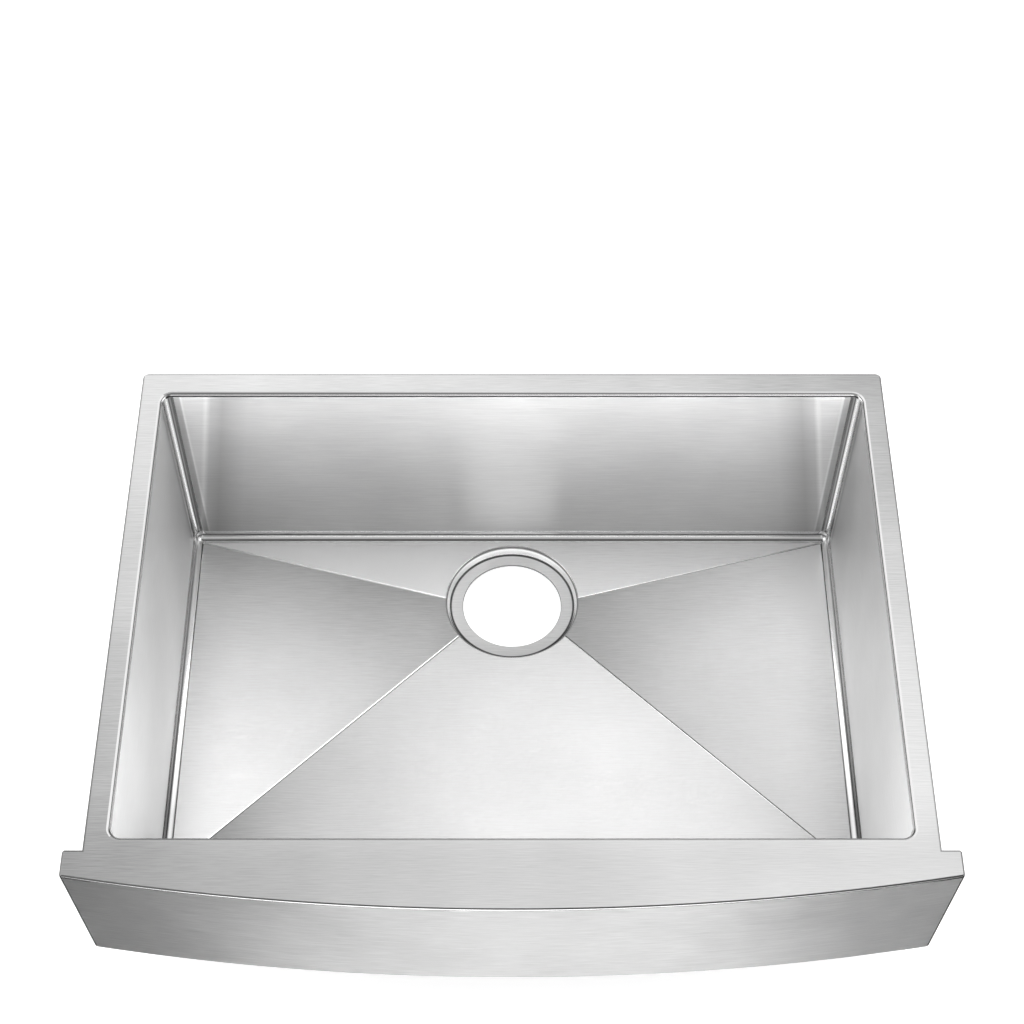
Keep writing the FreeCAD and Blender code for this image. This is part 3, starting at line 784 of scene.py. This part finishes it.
# finishes: (roughness, anisotropy, how much the grain changes the tone)
BRUSHED = (0.38, 0.9, 0.075)
SATIN = (0.45, 0.9, 0.085)
SMOOTHED = (0.38, 0.9, 0.045)
POLISHED = (0.16, 0.0, 0.01)
DULL = (0.45, 0.0, 0.02)
EVEN = (0, 0, 0)
STEELS = {
    # name: (grain, tangent, finish, middle, tone at the middle, and the painted reflection's lean, twist,
    # crown)
    "brushed_rim": (GRAIN_SIDEWAYS, ACROSS_LEVEL, BRUSHED, (0, -0.22, 0), 0.57, (0.08, -0.1, 0), -2.15, 0.7),
    "facet_back": (GRAIN_SIDEWAYS, ACROSS_LEVEL, SATIN, (0, -0.05, -0.203), 0.98, (-0.55, 0, 0), 0, -2),
    "facet_front": (GRAIN_SIDEWAYS, ACROSS_LEVEL, SATIN, (0, -0.25, -0.203), 0.78, (0.6, 0.15, 0), 0, 4.2),
    "facet_left": (GRAIN_SIDEWAYS, ACROSS_LEVEL, SATIN, (-0.2, -0.19, -0.203), 0.75, (-1.6, -0.9, 0), 3.5, 0),
    "facet_right": (GRAIN_SIDEWAYS, ACROSS_LEVEL, SATIN, (0.2, -0.19, -0.203), 0.72, (2.0, 0.9, 0), 5.2, 0),
    "drain_seat": (GRAIN_SIDEWAYS, ACROSS_LEVEL, SATIN, (0, -0.084, -0.21), 0.8, (-0.8, 4.0, 0), 0, 0),
    "wall_back": (GRAIN_SIDEWAYS, UPRIGHT, SMOOTHED, (0, -0.013, -0.1), 0.73, (0.07, 0, 0.8), 0, 0.5),
    "wall_left": (GRAIN_LENGTHWISE, UPRIGHT, SMOOTHED, (-0.292, -0.18, -0.1), 0.74, (0, 0.1, 0.4), -12, 0),
    "wall_right": (GRAIN_LENGTHWISE, UPRIGHT, SMOOTHED, (0.292, -0.18, -0.1), 0.67, (0, -0.2, 0), -9, 0),
    "apron_face": (GRAIN_ROUND_BOW, UPRIGHT, BRUSHED, (0, -0.45, -0.06), 0.5, (0.42, 0, 0), 1, -1.0),
    # Painted shade: the apron's sideways ends are made dark.
    "shaded_apron_end": (NO_GRAIN, UPRIGHT, DULL, EVEN, 0.2, EVEN, 0, 0),
    "rolled_lip": (NO_GRAIN, UPRIGHT, POLISHED, EVEN, 1.0, (0.9, 0, 0), 0, 0),
    "side_lip": (NO_GRAIN, UPRIGHT, POLISHED, EVEN, 1.0, EVEN, 0, 0),
    "corner_bend": (NO_GRAIN, UPRIGHT, POLISHED, EVEN, 1.0, EVEN, 0, 0),
    "floor_bend": (NO_GRAIN, UPRIGHT, POLISHED, EVEN, 1.0, EVEN, 0, 0),
    "side_bend": (NO_GRAIN, UPRIGHT, POLISHED, EVEN, 1.3, EVEN, 0, 0),
    "drawn_ring": (NO_GRAIN, UPRIGHT, POLISHED, EVEN, 1.0, EVEN, 0, 0),
    "back_crease": (NO_GRAIN, UPRIGHT, POLISHED, EVEN, 1.0, EVEN, 0, 0),
    "front_crease": (NO_GRAIN, UPRIGHT, POLISHED, EVEN, 1.0, EVEN, 0, 0),
    "apron_fold": (NO_GRAIN, UPRIGHT, POLISHED, EVEN, 0.38, (-0.3, 0, 0), 0, 0),
    # Painted shade: the broken edges are far darker than the steel, to draw a thin dark outline.
    "shaded_cut_edge": (NO_GRAIN, UPRIGHT, DULL, EVEN, 0.15, EVEN, 0, 0),
    "mill_skin": (MILL_GRAIN, UPRIGHT, DULL, EVEN, 0.45, EVEN, 0, 0),
}
print("recipes:", len(STEELS), "steels")

# %% [markdown]
# ## Lines in a bend
# A polished bend squeezes its whole surroundings into a few millimetres, so it shows as a bundle of light and
# dark lines.  Here those lines are painted reflections in the steel's colour, as are some bands on flat
# panels.  Each measure below goes from 0 to 1 across such a place, by how the surface turns or by where it
# lies on the sink.  A row of stops then says how light the painted steel is at each share of the way.

# %% Measures across a bend
def steepness(tree):
    """0 where a bend is level, 1 where it is upright."""
    angle = calculate(tree, "ARCCOSINE", calculate(tree, "MINIMUM", facing(tree, UPRIGHT), 1))
    return calculate(tree, "DIVIDE", angle, math.pi / 2)


def turn(tree):
    """0 where an upright corner joins a side wall, 1 where it joins the back or front wall."""
    sideways = calculate(tree, "ABSOLUTE", facing(tree, (1, 0, 0)))
    lengthways = calculate(tree, "ABSOLUTE", facing(tree, ACROSS_LEVEL))
    return calculate(tree, "DIVIDE", calculate(tree, "ARCTAN2", lengthways, sideways), math.pi / 2)


GROOVE_SHINE = (0.8, -0.5, 0)
GROOVE_TILT = 0.05


def groove_side(tree):
    """0 on the side of a groove that faces right and forward, 1 on its other side."""
    return between(tree, facing(tree, GROOVE_SHINE), GROOVE_TILT, -GROOVE_TILT)


# %% Measures round the drain
def from_drain(tree, inner, outer):
    """0 at one radius round the drain, 1 at another."""
    level = add_node(tree, "VectorMath", {0: place_in(tree), 1: (1, 1, 0)}, operation="MULTIPLY")
    away = add_node(tree, "VectorMath", {0: level, 1: (0, DRAIN_Y, 0)}, operation="DISTANCE")
    return between(tree, away.node.outputs["Value"], inner, outer)


def ring_share(tree):
    return from_drain(tree, SEAT_RADIUS, MOUTH)


def seat_share(tree):
    return from_drain(tree, HOLE_RADIUS, SEAT_RADIUS)


# %% Measures along a panel
OUTLINE = 1.5 * MM
BESIDE = 40 * MM
PAST_SEAM = 6 * MM
CORNER_LEAN = 0.15
CORNER_START, CORNER_END = 0.2, 0.3


def beside_outline(tree):
    """0 on the rim's outline, 1 just inside it."""
    place = split(tree, place_in(tree))
    from_back = calculate(tree, "SUBTRACT", RIM_BACK, place["Y"])
    from_side = calculate(tree, "SUBTRACT", RIM_HALF, calculate(tree, "ABSOLUTE", place["X"]))
    from_seam = calculate(tree, "SUBTRACT", SEAM, place["Y"])
    inside = calculate(tree, "MINIMUM", from_back, calculate(tree, "MAXIMUM", from_side, from_seam))
    return between(tree, inside, 0, OUTLINE)


def beside_corner(tree):
    """How near the back wall is to its corners, along lines that lean with the corner's reflection."""
    place = split(tree, place_in(tree))
    aside = calculate(tree, "ABSOLUTE", place["X"])
    leaning = calculate(tree, "MULTIPLY_ADD", place["Z"], CORNER_LEAN, aside)
    return between(tree, leaning, CORNER_START, CORNER_END)


def beside_back(tree):
    """0 at the back wall, 1 a little in front of it."""
    return between(tree, split(tree, place_in(tree))["Y"], WALL_BACK, WALL_BACK - BESIDE)


def toward_front(tree):
    """0 at the back wall, 1 at the front wall."""
    return between(tree, split(tree, place_in(tree))["Y"], WALL_BACK, WALL_FRONT)


def beside_side(tree):
    """0 at a side wall, 1 a little way from it."""
    aside = calculate(tree, "ABSOLUTE", split(tree, place_in(tree))["X"])
    return between(tree, aside, WALL_HALF, WALL_HALF - BESIDE)


def beside_front(tree):
    """0 a little behind the bowl's front edge, 1 in front of it."""
    return between(tree, split(tree, place_in(tree))["Y"], WALL_FRONT + BESIDE, SEAM - PAST_SEAM)


# %% Stripes
# Each stripe below is painted reflection and shade: the light and dark lines of bends, creases and edges.
CORNER_SHINE = (beside_back, [(0, 1), (0.2, 1), (0.27, 0.95), (0.35, 0.65), (0.43, 0.9), (0.6, 1), (1, 1)])
PAINTED_STRIPES = {
    # name: [(measure, [(share of the way, tone), ...]), ...]
    "brushed_rim": [(beside_front, [(0, 1), (1, 0.8)]), (beside_outline, [(0, 0.3), (0.5, 0.45), (1, 1)])],
    "drain_seat": [(seat_share, [(0, 1), (0.9, 1), (0.94, 0.25), (1, 0.1)])],
    "rolled_lip": [(steepness, [(0, 0.4), (0.1, 0.32), (0.2, 0.4), (0.55, 0.36), (0.64, 0.12), (0.7, 0.05),
                                (0.88, 0.05), (0.95, 0.3), (1, 0.7)])],
    "side_lip": [(steepness, [(0, 0.5), (0.28, 0.5), (0.35, 0.3), (0.39, 0.06), (0.47, 0.06), (0.53, 0.5),
                              (0.62, 0.8), (1, 0.8)])],
    "corner_bend": [(turn, [(0, 0.7), (0.12, 0.4), (0.28, 0.7), (0.42, 1), (0.57, 1), (0.64, 0.12),
                            (0.74, 0.5), (0.84, 0.2), (0.95, 0.3), (1, 0.4)])],
    "floor_bend": [(steepness, [(0, 1), (0.14, 1), (0.19, 0.2), (0.28, 0.08), (0.35, 0.5), (0.42, 1),
                                (0.54, 0.5), (0.6, 0.4), (0.67, 0.12), (0.76, 0.6), (1, 0.7)])],
    "side_bend": [(steepness, [(0, 0.7), (0.03, 0.15), (0.08, 0.12), (0.13, 0.7), (0.2, 1), (0.34, 1),
                               (0.42, 0.5), (0.48, 0.25), (0.75, 0.25), (1, 0.5)]),
                  (toward_front, [(0, 1), (0.4, 1), (0.7, 0.35), (1, 0.35)])],
    "drawn_ring": [(ring_share, [(0, 0.04), (0.12, 0.04), (0.24, 0.95), (0.6, 1), (0.7, 0.25), (0.85, 0.3),
                                 (0.92, 0.95), (0.97, 0.25), (1, 0.1)])],
    "back_crease": [(groove_side, [(0, 1), (0.6, 1), (0.85, 0.5), (1, 0.4)])],
    "front_crease": [(groove_side, [(0, 1), (0.4, 1), (0.55, 0.08), (1, 0.05)])],
    "apron_fold": [(steepness, [(0, 0.7), (0.2, 0.45), (0.5, 0.4), (0.58, 0.6), (0.7, 0.85), (1, 1)])],
    "wall_back": [(beside_corner, [(0, 1), (0.2, 0.97), (0.42, 0.78), (0.52, 0.95), (0.56, 1.3), (0.59, 1.15),
                                   (0.75, 1.15), (1, 1.15)]),
                  (beside_side, [(0, 0.65), (0.26, 0.65), (0.31, 0.7), (0.34, 1.2), (0.38, 1), (1, 1)])],
    "wall_left": [CORNER_SHINE],
    "wall_right": [CORNER_SHINE],
}


def striped(tree, measure, stops):
    """A painted reflection tone that changes along a measure, from stop to stop."""
    made = tree.nodes.new("ShaderNodeValToRGB")
    tree.links.new(measure(tree), made.inputs[0])
    elements = made.color_ramp.elements
    for share, _ in stops[1:-1]:
        elements.new(share)
    for element, (share, tone) in zip(elements, stops):
        element.position = share
        element.color = (tone, tone, tone, 1)
    return made.outputs["Color"]


print("striped steels:", len(PAINTED_STRIPES))

# %% [markdown]
# ## Make the steels
# One recipe makes them all.  The grain, some soft clouds and the painted reflection across the panel are
# added to the tone, the painted stripes multiply it, and the result is the colour of the metal.  The grain
# changes the roughness too, and stands a little proud.

# %% Make the steels
GRAIN_DETAIL, GRAIN_ROUGHNESS = 3, 0.6
CLOUD_SCALE, CLOUD_DETAIL = 11, 2
CLOUD_TONE = 0.03
DARKEST, LIGHTEST = 0.02, 0.98
SMOOTHER, ROUGHER = 0.85, 1.15
BRUSHED_RELIEF, POLISHED_RELIEF = 0.3, 0.05
SCRATCH = 0.05 * MM


def make_steel(name, grain, tangent, finish, middle, tone, lean, twist, crown):
    """A metal with a grain, and a tone and stripes of painted reflection across its panel and bends."""
    material, tree, shader = new_material(name)
    roughness, anisotropy, grain_tone = finish
    lines = add_node(tree, "TexNoise", {"Vector": place_in(tree, grain), "Scale": 1, "Detail": GRAIN_DETAIL,
                                        "Roughness": GRAIN_ROUGHNESS})
    clouds = add_node(tree, "TexNoise", {"Vector": place_in(tree), "Scale": CLOUD_SCALE,
                                         "Detail": CLOUD_DETAIL})
    point = add_node(tree, "VectorMath", {0: place_in(tree), 1: middle}, operation="SUBTRACT")
    offset = split(tree, point)
    turned = add_node(tree, "CombineXYZ", {"X": offset["Y"], "Y": offset["Z"], "Z": offset["X"]})
    painted_reflection = calculate(tree, "MULTIPLY_ADD", dot(tree, point, turned), twist, dot(tree, point, lean))
    aside = calculate(tree, "MULTIPLY", offset["X"], offset["X"])
    painted_reflection = calculate(tree, "MULTIPLY_ADD", aside, -crown, painted_reflection)
    mottled = calculate(tree, "ADD", spread(tree, lines, -grain_tone, grain_tone),
                        spread(tree, clouds, tone - CLOUD_TONE, tone + CLOUD_TONE))
    total = calculate(tree, "ADD", mottled, painted_reflection)
    for measure, stops in PAINTED_STRIPES.get(name, []):
        total = calculate(tree, "MULTIPLY", total, striped(tree, measure, stops))
    total = add_node(tree, "Clamp", {"Value": total, "Min": DARKEST, "Max": LIGHTEST})
    shader.inputs["Metallic"].default_value = 1
    shader.inputs["Anisotropic"].default_value = anisotropy
    tree.links.new(grey(tree, total), shader.inputs["Base Color"])
    tree.links.new(spread(tree, lines, roughness * SMOOTHER, roughness * ROUGHER), shader.inputs["Roughness"])
    if anisotropy:
        spread_along = add_node(tree, "CombineXYZ", {"X": tangent[0], "Y": tangent[1], "Z": tangent[2]})
        tree.links.new(spread_along, shader.inputs["Tangent"])
    relief = BRUSHED_RELIEF if anisotropy else POLISHED_RELIEF
    bump = add_node(tree, "Bump", {"Height": lines, "Strength": relief, "Distance": SCRATCH})
    tree.links.new(bump, shader.inputs["Normal"])


for name, facts in STEELS.items():
    make_steel(name, *facts)
print("steels:", ", ".join(STEELS))

# %% [markdown]
# ## Rubber
# The pads are cast bitumen rubber: dull, nearly black, with a fine pebbled skin.

# %% Rubber
PEBBLE_SCALE, PEBBLE_RELIEF, PEBBLE_HEIGHT = 420, 0.5, 0.3 * MM
SPECK_SCALE, SPECK_DETAIL = 160, 4
RUBBER_DARK, RUBBER_LIGHT = 0.016, 0.034
RUBBER_SMOOTH, RUBBER_ROUGH = 0.7, 0.88
rubber, tree, shader = new_material("pad_rubber")
pebbles = add_node(tree, "TexVoronoi", {"Vector": place_in(tree), "Scale": PEBBLE_SCALE})
specks = add_node(tree, "TexNoise", {"Vector": place_in(tree), "Scale": SPECK_SCALE, "Detail": SPECK_DETAIL})
tree.links.new(grey(tree, spread(tree, specks, RUBBER_DARK, RUBBER_LIGHT)), shader.inputs["Base Color"])
tree.links.new(spread(tree, specks, RUBBER_SMOOTH, RUBBER_ROUGH), shader.inputs["Roughness"])
bump = add_node(tree, "Bump", {"Height": pebbles, "Strength": PEBBLE_RELIEF, "Distance": PEBBLE_HEIGHT})
tree.links.new(bump, shader.inputs["Normal"])
print("rubber:", rubber.name)

# %% [markdown]
# ## Put the pieces in the frame
# Nothing on a sink moves, so every piece rides on the one body.  Each piece stands for its own solid in the
# frame, whose node is hidden; the pads are dressed in rubber and the brackets in the mill skin.

# %% Ride, replace and dress
for node_name, piece in hidden.items():
    is_pad = node_name in PADS
    piece.data.materials.clear()
    piece.data.materials.append(rubber if is_pad else bpy.data.materials["mill_skin"])

dressed = {"bowl": bowl, "apron_front": apron, **hidden}
for node_name, piece in dressed.items():
    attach(piece, "root")
    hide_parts(node_name)
print("pieces:", len(dressed))

# %% [markdown]
# ## Light and ground
# The sink is seen in a white studio.  Its steel reflects what is round it: the panels below are brighter
# patches of that studio, each with a direction, a spread and a strength.  The eye sees plain white there.
# The ground is white paper that keeps the sink's shadow.  In the steel it shows a painted pool of light: to
# mirrored rays the paper glows under the middle of the sink, fading towards both sides.

# %% Studio panels
PLAIN_LEVEL = 0.55
PANELS = [
    # name, compass direction from the back (right is positive), height, inner and outer spread, strength
    ("front_low", 180, 5, 5, 30, 8.0),
    ("back_high", 0, 60, 10, 40, 1.3),
    ("side_left", -85, 30, 10, 45, 1.8),
    ("side_right", 85, 30, 10, 45, 1.8),
]


def direction_of(compass, height):
    across = math.cos(math.radians(height))
    return (across * math.sin(math.radians(compass)), across * math.cos(math.radians(compass)),
            math.sin(math.radians(height)))


world = bpy.data.worlds.new("studio")
bpy.context.scene.world = world
world.use_nodes = True
tree = world.node_tree
looking = tree.nodes.new("ShaderNodeTexCoord").outputs["Generated"]
total = PLAIN_LEVEL
for name, compass, height, inner, outer, strength in PANELS:
    toward = dot(tree, looking, direction_of(compass, height))
    glow = add_node(tree, "MapRange", {"Value": toward, "From Min": math.cos(math.radians(outer)),
                                       "From Max": math.cos(math.radians(inner)), "To Min": 0,
                                       "To Max": strength}, interpolation_type="SMOOTHSTEP")
    total = calculate(tree, "ADD", glow, total)
seen = tree.nodes.new("ShaderNodeLightPath").outputs["Is Camera Ray"]
strength = add_node(tree, "Mix", {"Factor": seen, "A": total, "B": 1.0})
tree.links.new(strength, tree.nodes["Background"].inputs["Strength"])
tree.nodes["Background"].inputs["Color"].default_value = (1, 1, 1, 1)
print("studio:", len(PANELS), "panels")

# %% Ground
GROUND_LIFT = 0.54
POOL_BRIGHT, POOL_EDGE = 100 * MM, 360 * MM
POOL_STRENGTH, POOL_DIM = 1.0, 0.12
GROUND_SIZE = 8
GROUND_GAP = 0.5 * MM
PAPER_TONE, PAPER_ROUGHNESS = 0.8, 0.9
close_piece()
bpy.ops.object.select_all(action="DESELECT")
bpy.ops.mesh.primitive_plane_add(size=GROUND_SIZE, location=(0, 0, bowl_low.z - GROUND_GAP))
ground = bpy.context.object
ground.name = "ground"
paper, tree, shader = new_material("white_paper")
shader.inputs["Base Color"].default_value = (PAPER_TONE, PAPER_TONE, PAPER_TONE, 1)
shader.inputs["Roughness"].default_value = PAPER_ROUGHNESS
shader.inputs["Emission Color"].default_value = (1, 1, 1, 1)
path = tree.nodes.new("ShaderNodeLightPath").outputs
seen = calculate(tree, "MULTIPLY", path["Is Camera Ray"], GROUND_LIFT)
tree.links.new(seen, shader.inputs["Emission Strength"])
# Painted light: to mirrored rays the paper glows, brightest under the middle of the sink.
aside = calculate(tree, "ABSOLUTE", split(tree, place_in(tree))["X"])
pool = add_node(tree, "MapRange", {"Value": aside, "From Min": POOL_BRIGHT, "From Max": POOL_EDGE,
                                   "To Min": POOL_STRENGTH, "To Max": POOL_DIM},
                interpolation_type="SMOOTHSTEP")
painted_pool_glow = add_node(tree, "Emission", {"Strength": pool})
reflected = calculate(tree, "MAXIMUM", path["Is Glossy Ray"], path["Is Transmission Ray"])
mix = add_node(tree, "MixShader", {"Fac": reflected, 1: shader.outputs[0], 2: painted_pool_glow})
tree.links.new(mix, tree.nodes["Material Output"].inputs["Surface"])
ground.data.materials.append(paper)
bpy.context.scene.view_settings.view_transform = "Standard"
print("ground: white paper")
